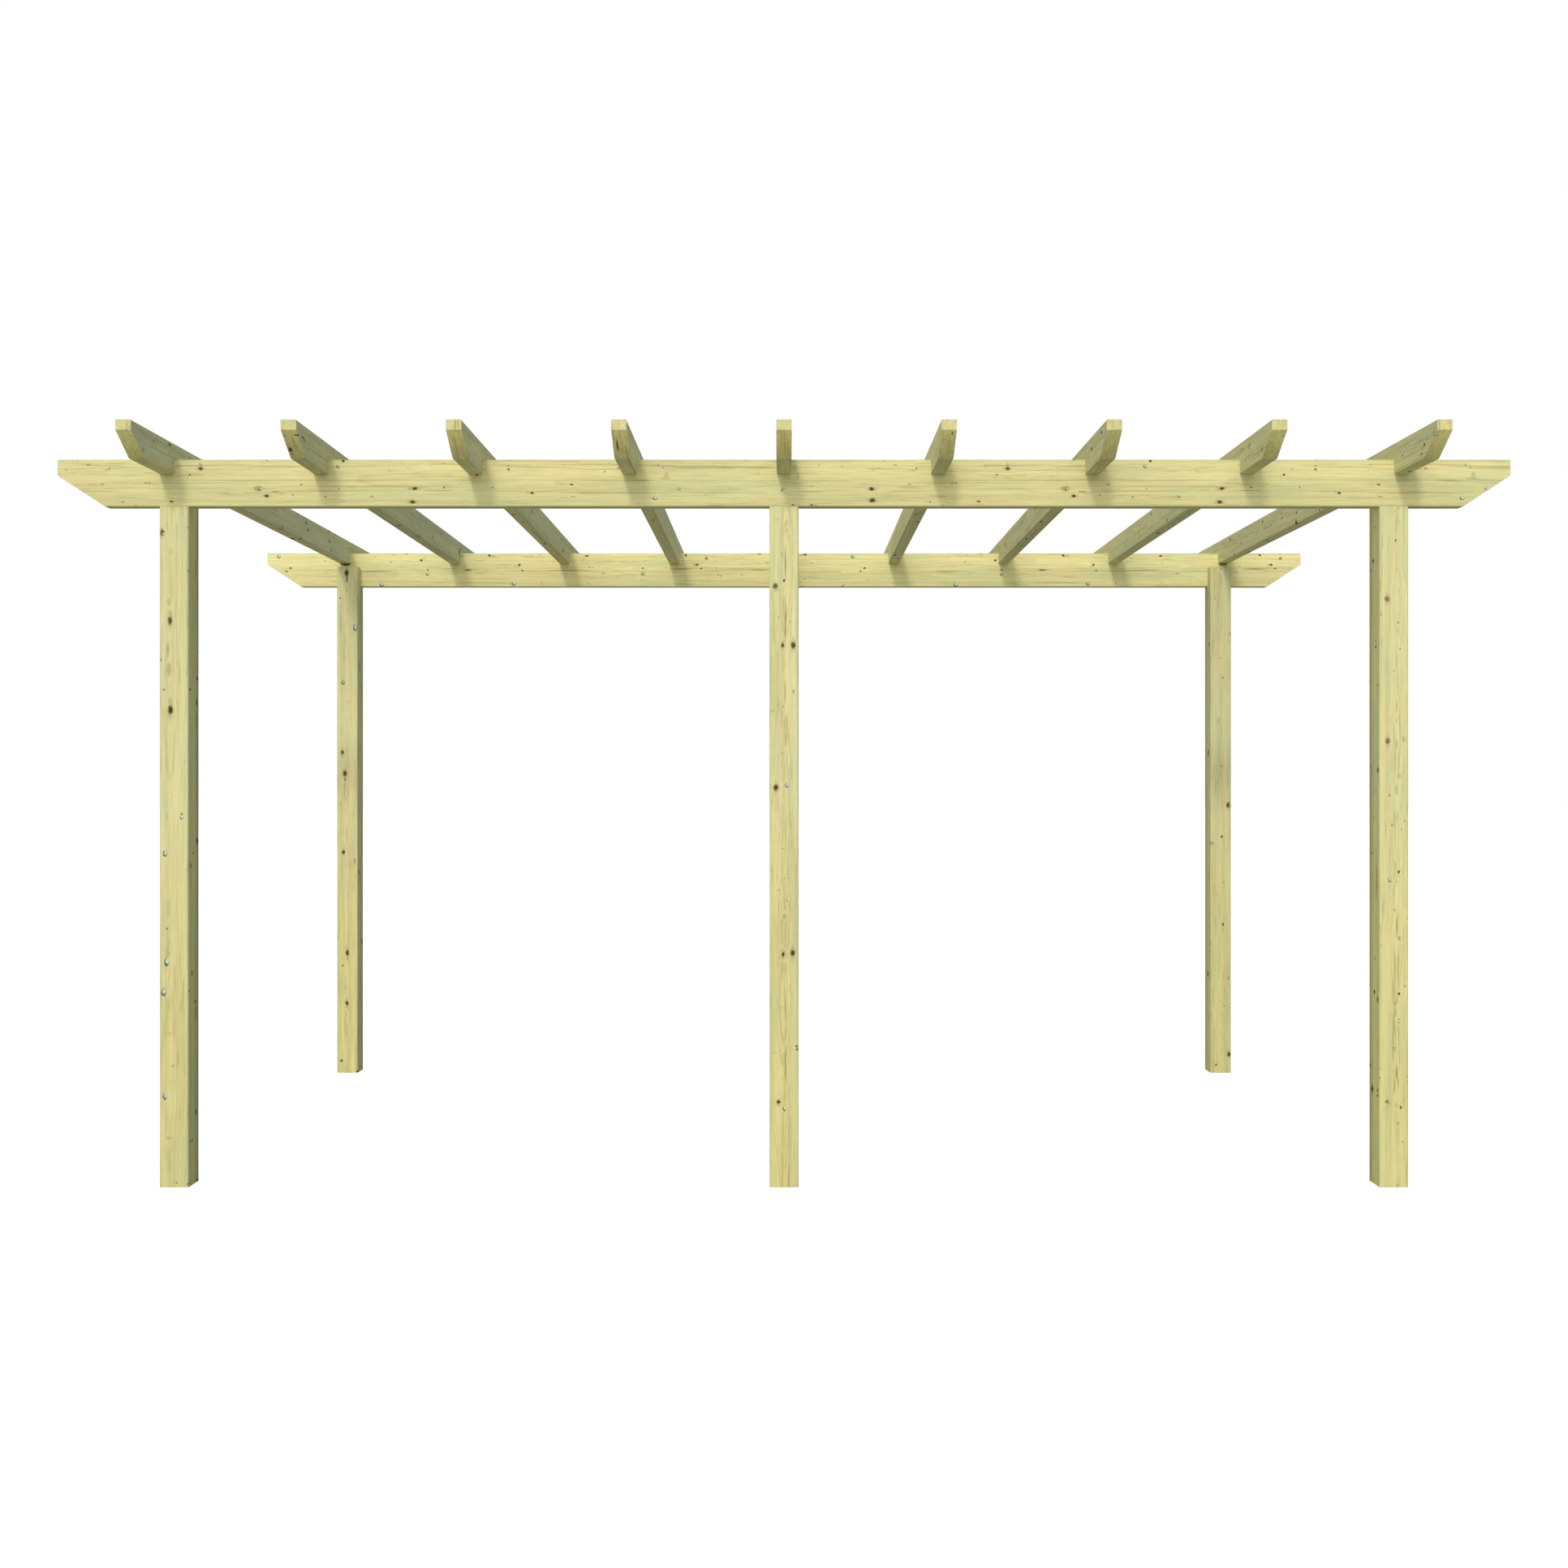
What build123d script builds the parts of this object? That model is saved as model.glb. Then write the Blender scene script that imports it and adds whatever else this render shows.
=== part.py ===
from build123d import *
import os

# A free-standing garden pergola of planed softwood, in millimetres.
# X runs along the two beams, Y from front to back, Z up; the origin is on the ground
# in the middle of the plan. Two rows of posts each carry one beam in rebates cut in
# the post heads, and the rafters are housed over both beams.

# Layout
width_over_posts = 3870.0
depth_over_posts = 2050.0
beam_underside = 2110.0
beam_overhang = 315.0
rafter_overhang = 325.0
post_places = ("left", "middle", "right")
rafter_count = 9

# Planed sections, with the radius of their rounded long arrises
post_width = 90.0
post_arris = 5.0
beam_thickness = 45.0
beam_height = 145.0
beam_arris = 3.0
rafter_thickness = 45.0
rafter_height = 95.0
rafter_arris = 3.0

# Joints: the drop of a rafter over a beam, the air left between a post's tongue and
# the rafters, and the sideways play that lets a joint go together
housing_depth = 45.0
tongue_clearance = 20.0
joint_play = 0.5

# Shaped ends: an upright nose at the top, then a slanting cut down to the underside
beam_nose = 50.0
beam_end_run = 146.0
rafter_nose = 30.0
rafter_end_run = 98.0

# Levels and lengths that follow from the sizes above
beam_top = beam_underside + beam_height
rafter_underside = beam_top - housing_depth
tongue_top = rafter_underside - tongue_clearance
beam_length = width_over_posts + 2 * beam_overhang
rafter_length = depth_over_posts + 2 * rafter_overhang
beam_line = (depth_over_posts - beam_thickness) / 2


def planed_timber(length, thickness, height, arris):
    """Planed stock along X, its long arrises rounded, centred in plan, underside at Z 0."""
    section = Plane.YZ * Pos(0, height / 2) * RectangleRounded(thickness, height, arris)
    return extrude(section, amount=length / 2, both=True)


def shaped_end(length, thickness, height, nose, run):
    """The wedge that is sawn off below the nose at the +X end of a timber."""
    nose_foot = (length / 2, height - nose)
    heel = (length / 2 - run, 0)
    corner = (length / 2, 0)
    wedge = Plane.XZ * make_face(Polyline(nose_foot, heel, corner, close=True))
    return extrude(wedge, amount=thickness, both=True)


def shaped_timber(length, thickness, height, arris, nose, run):
    """Planed stock along X with both ends sawn to the same shape."""
    waste = shaped_end(length, thickness, height, nose, run)
    timber = planed_timber(length, thickness, height, arris)
    return timber - waste - Rot(0, 0, 180) * waste


def post():
    """A post at the origin, outer face towards -Y, its head rebated to seat the beam."""
    stock = extrude(RectangleRounded(post_width, post_width, post_arris), amount=tongue_top)
    rebate = Box(
        post_width,
        beam_thickness + joint_play,
        tongue_top - beam_underside,
        align=(Align.CENTER, Align.MIN, Align.MIN),
    )
    return stock - Pos(0, -post_width / 2, beam_underside) * rebate


def beam():
    """A beam along X with shaped ends, underside at Z 0."""
    return shaped_timber(
        beam_length, beam_thickness, beam_height, beam_arris, beam_nose, beam_end_run
    )


def rafter():
    """A rafter along Y with shaped ends, notched from below to sit over both beams."""
    timber = shaped_timber(
        rafter_length, rafter_thickness, rafter_height, rafter_arris, rafter_nose, rafter_end_run
    )
    housing = Box(
        beam_thickness + 2 * joint_play,
        rafter_thickness,
        housing_depth,
        align=(Align.CENTER, Align.CENTER, Align.MIN),
    )
    for side in (-1, 1):
        timber -= Pos(side * beam_line, 0, 0) * housing
    return Rot(0, 0, 90) * timber


def evenly_spaced(count, width):
    """Places along X for pieces whose first and last stand at the ends of a width."""
    return [width * (index / (count - 1) - 0.5) for index in range(count)]


def build_posts():
    """Both rows of posts; a back post is a front one turned round."""
    post_line = (depth_over_posts - post_width) / 2
    places = evenly_spaced(len(post_places), width_over_posts - post_width)
    pieces = {}
    for place, x in zip(post_places, places):
        pieces[f"post_front_{place}"] = Pos(x, -post_line, 0) * post()
        pieces[f"post_back_{place}"] = Pos(x, post_line, 0) * Rot(0, 0, 180) * post()
    return pieces


def build_beams():
    """One beam on each row of posts, flush with the posts' outer faces."""
    return {
        "beam_front": Pos(0, -beam_line, beam_underside) * beam(),
        "beam_back": Pos(0, beam_line, beam_underside) * beam(),
    }


def build_rafters():
    """The rafters from left to right, the outer two flush with the posts below them."""
    places = evenly_spaced(rafter_count, width_over_posts - rafter_thickness)
    return {
        f"rafter_{number}": Pos(x, 0, rafter_underside) * rafter()
        for number, x in enumerate(places, start=1)
    }


os.makedirs("parts", exist_ok=True)
for name, piece in {**build_posts(), **build_beams(), **build_rafters()}.items():
    export_step(piece, f"parts/{name}.step")
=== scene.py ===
import math
import random

import bmesh
import bpy
from mathutils import Euler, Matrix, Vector


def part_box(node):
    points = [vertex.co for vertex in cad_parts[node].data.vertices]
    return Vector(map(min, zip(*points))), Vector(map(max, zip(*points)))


# The finish, light and camera of a garden pergola of planed, pressure-treated softwood.
# Every timber is textured as a piece of one log: growth rings round a heart line, knots as
# branches that leave that heart, and fibre along the length. Lengths are in metres.

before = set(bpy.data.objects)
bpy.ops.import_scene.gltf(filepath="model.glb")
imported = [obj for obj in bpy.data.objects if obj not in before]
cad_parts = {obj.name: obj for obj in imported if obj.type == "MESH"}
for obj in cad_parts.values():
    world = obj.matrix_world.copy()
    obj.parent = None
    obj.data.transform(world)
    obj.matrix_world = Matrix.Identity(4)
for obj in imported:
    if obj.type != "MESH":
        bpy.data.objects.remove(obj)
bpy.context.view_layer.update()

# The camera of the photograph, worked out from the front and back rows of posts
EYE_HEIGHT = 1.250
EYE_TO_POSTS = 4.936
EYE = Vector((0.0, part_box("post_front_middle")[0].y - EYE_TO_POSTS, EYE_HEIGHT))
PIXELS_ACROSS = 1932
PIXELS_PER_METRE = 397.78
SENSOR_WIDTH = 36.0

# Light: the level and tint of the even fill, then the way each lamp shines, how bright it
# alone makes a white face that is turned to it, and its spread in degrees
FILL_LEVEL = 0.38
FILL_TINT = (0.885, 1.0, 1.0)
LAMP_TINT = (1.07, 1.0, 1.0)
LAMPS = {
    "key": ((0.13, 1.0, -0.46), 0.29, 6),
    "soft_front": ((0.05, 1.0, -0.16), 0.38, 26),
    "back": ((0.0, -1.0, -0.22), 0.52, 6),
    "wide_left": ((1.0, 0.45, -0.30), 0.25, 100),
}
WHITE = (1.0, 1.0, 1.0)
FLOOR_COLOUR = (0.42, 0.42, 0.42)
FLOOR_LIFT = 0.85
FLOOR_RADIUS = 80.0
FLOOR_SIDES = 64

# Colours of the wood, linear
EARLYWOOD = (0.705, 0.660, 0.312)
LATEWOOD = (0.500, 0.440, 0.165)
WARM_WOOD = (0.730, 0.625, 0.290)
GREEN_WOOD = (0.570, 0.620, 0.315)
STREAK_BROWN = (0.290, 0.225, 0.075)
KNOT_BROWN = (0.170, 0.115, 0.050)
# The knots' dark heart, also the colour of the painted shade in the gaps
KNOT_HEART_AND_GAP_SHADE = (0.050, 0.033, 0.018)
PALE_HEART = (0.660, 0.830, 0.700)
PLUG_RIM = (0.100, 0.082, 0.045)

# Tints that the colours are multiplied by in some places, and the distances over which they come in. The
# arris, side-face and slant tints are painted light and shade.
SAWN_TINT = (1.04, 1.02, 0.78)
SAWN_STRENGTH = 0.8
# Painted shade: a darker green band along the long arrises, where their rounding turns from the light
ARRIS_PAINTED_SHADE = (0.84, 0.91, 0.86)
ARRIS_WIDTH = 0.009
POST_FOOT_TINT = (0.96, 0.95, 0.89)
POST_TOP_TINT = (0.995, 1.01, 1.05)
POST_FADE = (0.35, 1.45)
# Painted light and shade on the posts' side faces: left-facing sides lit more than right-facing ones, each
# side darkening towards its back arris
POST_LEFT_PAINTED_LIGHT = (1.10, 1.11, 1.06)
POST_RIGHT_PAINTED_LIGHT = (1.03, 1.04, 1.12)
POST_BACK_PAINTED_SHADE = (0.56, 0.65, 0.60)
POST_PAINTED_SHADE_REACH = (-0.005, 0.050)
# Painted light on the rafters' side faces: both lighter, and the right-facing ones much bluer
RAFTER_LEFT_PAINTED_LIGHT = (1.05, 1.07, 1.20)
RAFTER_RIGHT_PAINTED_LIGHT = (1.06, 1.09, 1.44)
BEAM_FADE = (-0.060, 0.060, 0.965, 1.065)
# Painted shade on the sawn slants, darker towards the heel
SLANT_PAINTED_SHADE = (-0.055, 0.022, 0.76, 1.14)

# How fast each pattern of the wood changes along and across the grain, and how far some stray
FIBRE_RATE = (11.0, 300.0, 300.0)
LINE_RATE = (11.0, 190.0, 190.0)
BAND_RATE = (1.5, 70.0, 70.0)
PATCH_RATE = (3.0, 22.0, 22.0)
WAVE_RATE = (4.5, 9.0, 9.0)
WAVE_REACH = (0.0, 0.016, 0.016)
HEART_RATE = 1.1
HEART_REACH = (0.0, 0.060, 0.060)
RIPPLE_RATE = (3.0, 14.0, 14.0)
RIPPLE_REACH = 0.010
RIPPLE_GRAIN = {"detail": 3.0, "roughness": 0.55}
FIBRE_GRAIN = {"detail": 3.0, "roughness": 0.6}
YEAR_RATE = 0.30
YEAR_REACH = 3.0
YEAR_SLICE = 5.0
FLECK_RATE = 420.0

# Smooth ramps over those patterns: where each starts and ends, and what it gives there
LATEWOOD_RISE = (0.35, 0.86)
LATEWOOD_FALL = (0.88, 1.00, 1.0, 0.0)
RING_STRENGTH = (0.20, 1.00, 0.15, 1.00)
FIBRE_SHADE = (0.25, 0.75, 0.92, 1.06)
BAND_SHADE = (0.30, 0.70, 0.935, 1.05)
PATCH_SHADE = (0.30, 0.70, 0.965, 1.03)
WARM_PATCH = (0.50, 0.70)
GREEN_PATCH = (0.46, 0.68)
LINE_SHOWS = (0.55, 0.74)
LINE_IN_BAND = (0.62, 0.38, 0.06, 0.42)
SMEAR_IN_FIBRE = (0.66, 0.36, 0.30, 1.00)
FLECK_IN_PLUG = (0.48, 0.68, 0.00, 0.85)
ARRIS_IN_PATCH = (0.30, 0.60, 0.35, 1.00)
KNOT_CORE = (0.80, 0.15)
SWELL_ROUND_KNOT = (0.0, 3.0, 1.0, 0.0)
SWELL = 0.0050
ROUGHNESS = (0.30, 0.70, 0.72, 0.86)
GREENNESS = 0.45
SLANT_CONTRAST = 0.5

# The relief of the surface: how far each pattern raises or sinks it, and how deep it all is
RING_RELIEF = 0.5
FIBRE_RELIEF = 0.5
KNOT_RELIEF = 0.6
BUMP_STRENGTH = 0.3
BUMP_DISTANCE = 0.0005

# Knots by chance, which show on every face but the front ones and thinly on the rafters: how
# far apart and how thick they grow, how likely and how small or pale they are
LARGE_KNOTS = {"Spacing": 0.42, "Branches Around": 5.0, "Knot Radius": 0.0085}
PIN_KNOTS = {"Spacing": 0.22, "Branches Around": 8.0, "Knot Radius": 0.0045}
PIN_SEED_STEP = 31.7
KNOT_CHANCE = 0.45
KNOT_SIZES = (0.0, 1.0, 0.35, 1.00)
KNOT_PALENESS = (0.0, 1.0, 0.0, 0.7)
NOT_IN_FRONT = (-0.8, -0.2)
RAFTER_KNOTS = 0.4

# Placed marks: how far each kind is widened, at how many of its radii it starts to show and
# is at its strongest, and how far it then covers the wood
MARK_STYLE = {
    "knot": (1.15, 1.15, 0.30, 1.00),
    "smear": (1.00, 1.10, 0.20, 0.45),
    "streak": (1.15, 1.25, 0.10, 0.85),
    "plug": (0.72, 1.15, 0.65, 1.00),
    "rim": (1.00, 1.20, 0.80, 0.85),
    # painted shade: a dark patch where the beam shows in shade through a gap
    "gap": (1.00, 1.10, 0.80, 0.95),
}
MARK_DEPTH = 0.020
RIM_OFF_ACROSS = -0.20
RIM_OFF_DOWN = 0.25
FAR_AWAY = 50.0

# The half width times half height times strength from which a knot is big, how much wider
# it is then drawn, and how far it darkens the grain round it
BIG_KNOT = 4.0
BIG_KNOT_GROWTH = 1.22
SMEAR_ALONG = 3.2
SMEAR_ACROSS = 1.5

# What makes the outlines of marks uneven: how fast and how far they wander
FINE_EDGE = {"Scale": 130.0, "Shift": 0.0055}
SLOW_EDGE = {"Scale": 9.0, "Shift": 0.0040}

# The length after which the marks on a beam come again
FIGURE_LENGTH = 2.500

# The turn that lays a timber's length along X, its thickness along Y and its height along Z
TURN_OF_ROW = {
    "post": Euler((0.0, math.pi / 2, 0.0)),
    "beam": Euler((0.0, 0.0, 0.0)),
    "rafter": Euler((0.0, 0.0, -math.pi / 2)),
}
GRAIN_AXIS = {"post": 2, "beam": 0, "rafter": 1}

# The end of a rafter: the height of its upright nose, how far its slanting cut runs back, and
# the slopes between which a face counts as such a cut
RAFTER_NOSE = 0.030
RAFTER_END_RUN = 0.098
SLANT_FROM = (0.20, 0.35)
SLANT_TO = (0.95, 0.85)

# How each timber was cut: where the heart of the log lies across and up its section, the ring width, how
# strongly the rings show, and how warm and how light the wood is. The back beam's lightness is partly
# painted light, making up for the light that the front beam and rafters keep off it.
CUT_OF_TIMBER = {
    "post_front_left": (0.035, 0.020, 0.0042, 0.32, 0.50, 0.98),
    "post_front_middle": (0.000, -0.004, 0.0038, 0.50, 0.45, 1.01),
    "post_front_right": (0.010, -0.012, 0.0042, 0.55, 0.40, 1.03),
    "post_back_left": (0.030, 0.010, 0.0040, 0.30, 0.40, 0.99),
    "post_back_middle": (0.020, 0.000, 0.0040, 0.30, 0.40, 1.00),
    "post_back_right": (-0.010, 0.000, 0.0036, 0.42, 0.20, 0.93),
    "beam_front": (0.058, 0.002, 0.0050, 0.30, 0.45, 0.99),
    # partly painted light: lighter to make up for the light that the front beam and rafters keep off it
    "beam_back": (0.058, -0.002, 0.0046, 0.32, 0.55, 1.10),
}
RAFTER_CUT = (-0.070, 0.010, 0.0040, 0.34, 0.12)
RAFTER_TONES = (0.97, 0.92, 0.99, 1.00, 0.99, 0.98, 0.92, 0.98, 1.00)

# How far the heart and the ring width stray from these by chance, and the patterns' seeds
DRAW_SEED = 11
HEART_STRAYS_ACROSS = 0.008
HEART_STRAYS_UP = 0.004
RING_WIDTH_STRAYS = (0.9, 1.1)
PATTERN_SEEDS = (0.0, 40.0)

# Marks of the photograph on each timber's faces: x, y, half width and half height, in pixels of the
# photograph, and strength in per cent. First knots, then pale resin plugs, streaks of dark grain, and
# painted shade for the dark gaps between a back post's head and its rafter, drawn on the back beam behind
# them.
KNOTS = {}
KNOTS["post_front_left", "front"] = (
    (199.8, 656, 2.5, 3.4, 75), (231, 650, 1, 1.2, 50), (209, 679, 2.2, 3.5, 20), (208, 742, 1.5, 3.5, 25),
    (209.5, 757, 1.8, 4, 30), (209.5, 765, 2.6, 4.5, 80), (198.5, 813, 1.2, 1.8, 50),
    (202, 849.5, 1.2, 1.6, 70), (210, 864, 2.5, 5, 30), (210, 874.5, 2.8, 5.2, 95),
    (205.5, 877, 2, 2.5, 20), (227, 938, 1, 1.2, 30), (208, 976, 1, 1.2, 25), (224, 1003, 1.5, 1.6, 80),
    (206, 1006, 1.5, 2, 20), (206, 1144.5, 1.2, 1.5, 60), (206.5, 1175, 2, 4, 35),
    (208.5, 1273.5, 1.6, 1.3, 35), (212.5, 1313.5, 1.3, 1.3, 45), (207.5, 1402, 2.5, 1.5, 25),
    (217.5, 1457.5, 1.3, 1.5, 55), (231, 1459, 1.5, 1.5, 50),
)
KNOTS["post_front_left", "right"] = (
    (241, 700, 0.8, 12, 35), (243, 836, 1, 3, 80), (242.3, 866, 1.2, 4, 60), (242, 888, 0.8, 8, 40),
    (243, 1036, 1, 4, 90), (235, 1067, 0.8, 3.5, 80), (236.7, 1199, 0.8, 4, 80), (241, 1234, 1, 2.5, 80),
    (241.5, 1248, 0.8, 8, 50), (241.3, 1370, 1, 4, 80), (236.7, 1404.5, 1, 2, 60), (243, 1454, 0.8, 3, 90),
)
KNOTS["post_front_middle", "front"] = (
    (958, 640, 1.5, 2, 25), (969.5, 654, 1, 2.5, 20), (963.5, 683, 1.8, 2.5, 25), (966, 715, 1.5, 2.2, 90),
    (955.3, 722, 3, 3.2, 75), (958, 727, 4, 2, 25), (959.6, 761, 1.1, 2, 40), (973.8, 766, 1.1, 2, 35),
    (964.4, 795, 1.8, 3, 85), (977.5, 795, 2.8, 3.8, 85), (978, 852, 1.3, 2.5, 50),
    (965, 870.5, 1.3, 1.5, 40), (953, 876, 1.2, 1.5, 35), (964, 928, 1.3, 2.5, 35),
    (956, 970.5, 3, 3.6, 90), (957.5, 1039, 1.3, 1, 25), (965, 1046, 1.5, 1.5, 35),
    (966.3, 1078, 1.2, 1.2, 35), (966.8, 1082, 1.2, 1.2, 40), (959.7, 1092, 1, 1, 25),
    (959.7, 1097, 1.3, 1.3, 45), (970, 1110, 1.3, 2.3, 35), (966.2, 1129, 1.3, 3, 40),
    (967.7, 1165, 1.3, 1.5, 30), (965, 1176, 1.8, 3, 95), (976.7, 1174, 2.7, 3.6, 95),
    (962, 1241, 2, 1, 20), (981.5, 1289, 1.8, 1.8, 80), (982, 1293, 2, 1.5, 70),
    (956.5, 1297.5, 2.3, 1, 30), (970.5, 1305, 0.8, 1, 30), (970.5, 1310, 0.8, 1, 35),
    (963, 1327, 1, 1, 35), (963, 1331, 1, 1, 40), (959.2, 1357.5, 2.4, 2, 98), (959.5, 1361, 2, 2.5, 35),
)
KNOTS["post_front_right", "front"] = (
    (1723, 626, 2, 2, 25), (1724, 643, 1.5, 3, 20), (1719.5, 666, 1.2, 2, 75), (1723.5, 728, 1.2, 2, 25),
    (1709, 738, 2.8, 3, 60), (1701.5, 754, 1, 1, 40), (1701.5, 758, 1, 1, 40), (1722.5, 767, 1.5, 1.5, 50),
    (1722, 776, 1, 2.5, 25), (1725, 799.5, 1.3, 1.5, 55), (1717, 826, 1.5, 2, 30),
    (1729.5, 911, 1.2, 3, 40), (1709.7, 913, 2.4, 3.2, 65), (1723.5, 956, 2.6, 2.6, 30),
    (1711.5, 980, 1.1, 1.8, 60), (1726.3, 995, 0.8, 2, 25), (1730.5, 1011.5, 1.1, 1.5, 50),
    (1715, 1017, 1.1, 1.8, 55), (1727, 1022, 1, 1.5, 35), (1723.5, 1074.5, 1.6, 2.3, 90),
    (1720, 1087, 1.3, 2, 25), (1734, 1105, 0.5, 1, 50), (1718, 1121, 1.8, 1.8, 35),
    (1734, 1131, 0.5, 1.5, 50), (1724, 1156, 1.3, 2.3, 50), (1701.8, 1165, 0.9, 1.5, 40),
    (1731, 1215, 1, 2, 50), (1724, 1224.5, 1.8, 2.3, 85), (1723.5, 1256, 1.8, 1, 40),
    (1723.5, 1260, 1.8, 1, 40), (1718, 1291, 2, 1, 40), (1718, 1294, 1.5, 1, 30),
    (1701, 1317, 1.3, 1.5, 30), (1734.3, 1327, 0.7, 1.5, 60), (1709, 1357.5, 2.6, 2.2, 60),
    (1711, 1360, 2, 1, 40), (1720.8, 1362, 1.3, 2.5, 20), (1726, 1364.5, 1.7, 2.4, 90),
    (1722.3, 1384, 1, 2, 50), (1728.3, 1407, 1.1, 1.5, 50), (1722, 1460.5, 1.3, 2, 40),
)
KNOTS["post_front_right", "left"] = (
    (1692, 691, 0.9, 3.5, 95), (1689, 703, 0.8, 2, 50), (1695, 790, 1, 1.5, 35), (1695, 797, 1, 1.8, 70),
    (1698, 844, 1.4, 1.5, 35), (1697.8, 949, 1, 4.2, 95), (1690.3, 948, 0.5, 8, 50),
    (1695.4, 975, 0.6, 4, 40), (1696, 1085, 0.6, 18, 50), (1693, 1118, 0.7, 2.5, 35),
    (1694, 1181, 1, 2.5, 35), (1693.3, 1222, 0.9, 3.3, 98), (1697.3, 1232, 0.9, 4, 75),
    (1688.5, 1312, 0.8, 3, 70), (1690.8, 1341.5, 1.1, 4.2, 100), (1697.3, 1343.5, 0.9, 3, 60),
    (1697.3, 1350, 0.8, 2, 80),
)
KNOTS["post_back_left", "front"] = (
    (427, 706, 2.5, 4, 98), (427.5, 713, 1.3, 5, 60), (427, 728, 1, 2, 30), (419, 737, 1, 1.2, 85),
    (433, 756, 1, 1, 25), (426.5, 789, 1.3, 3, 20), (429, 865, 1, 1.2, 30), (422, 927, 2, 2.5, 80),
    (422, 932, 0.8, 2.5, 40), (425, 953, 2.4, 3.6, 85), (425, 960.5, 1.5, 1.8, 60),
    (425.3, 967, 0.8, 4, 40), (423.3, 1050, 1.8, 2.6, 95), (437.3, 1061, 1, 4, 55),
    (416.5, 1155, 0.6, 3, 40), (428, 1174, 2, 3.2, 90), (428.5, 1181, 1, 1.5, 50),
    (422, 1189.5, 1, 1.3, 70), (419.8, 1209, 0.7, 0.8, 40), (426.3, 1217, 1, 2.5, 30),
    (427.4, 1236, 1.8, 2.6, 90), (428, 1241, 0.8, 3, 35), (426.5, 1250, 0.7, 2, 40),
    (420.8, 1307, 1.8, 2.3, 80), (440, 1320, 1.5, 1.3, 90),
)
KNOTS["post_back_left", "right"] = (
    (443, 822, 1, 6, 40), (441.8, 930, 0.5, 20, 35), (442.7, 1075, 1, 3, 50), (446, 1160, 0.7, 4, 70),
)
KNOTS["post_back_right", "front"] = (
    (1497.6, 737, 0.9, 1.2, 35), (1515.8, 781, 0.7, 2.5, 70), (1503.5, 811, 1.5, 1.3, 30),
    (1506.5, 835, 1, 1.7, 60), (1501.7, 888, 0.9, 3, 40), (1505, 944.3, 1, 1.1, 60),
    (1513, 992, 1.8, 3, 85), (1514.5, 992, 2, 4.2, 40), (1502, 1013, 0.6, 3, 25),
    (1505.2, 1031, 1.3, 2.3, 95), (1501.5, 1044, 0.8, 2, 30), (1507.3, 1087, 1, 1, 50),
    (1500, 1101, 0.6, 2.5, 35), (1507, 1139, 1.2, 2.8, 95), (1507, 1145, 1.2, 1.6, 40),
    (1507.8, 1160, 1, 0.8, 35), (1501, 1185, 1, 1, 30), (1513.3, 1205.5, 0.8, 2, 55),
    (1504, 1233, 0.8, 2, 20), (1505.5, 1250.5, 0.7, 1.3, 35), (1503.3, 1272, 1.5, 4, 15),
    (1514.3, 1299, 2, 2.7, 95), (1498.3, 1312, 1.4, 1.7, 90),
)
KNOTS["post_back_right", "left"] = (
    (1490, 794, 0.6, 3, 60), (1489, 928, 0.8, 5, 70), (1492, 1039, 1, 3.5, 95), (1489.5, 1078, 0.7, 5, 35),
    (1488.3, 1200, 0.8, 4, 80),
)
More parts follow.
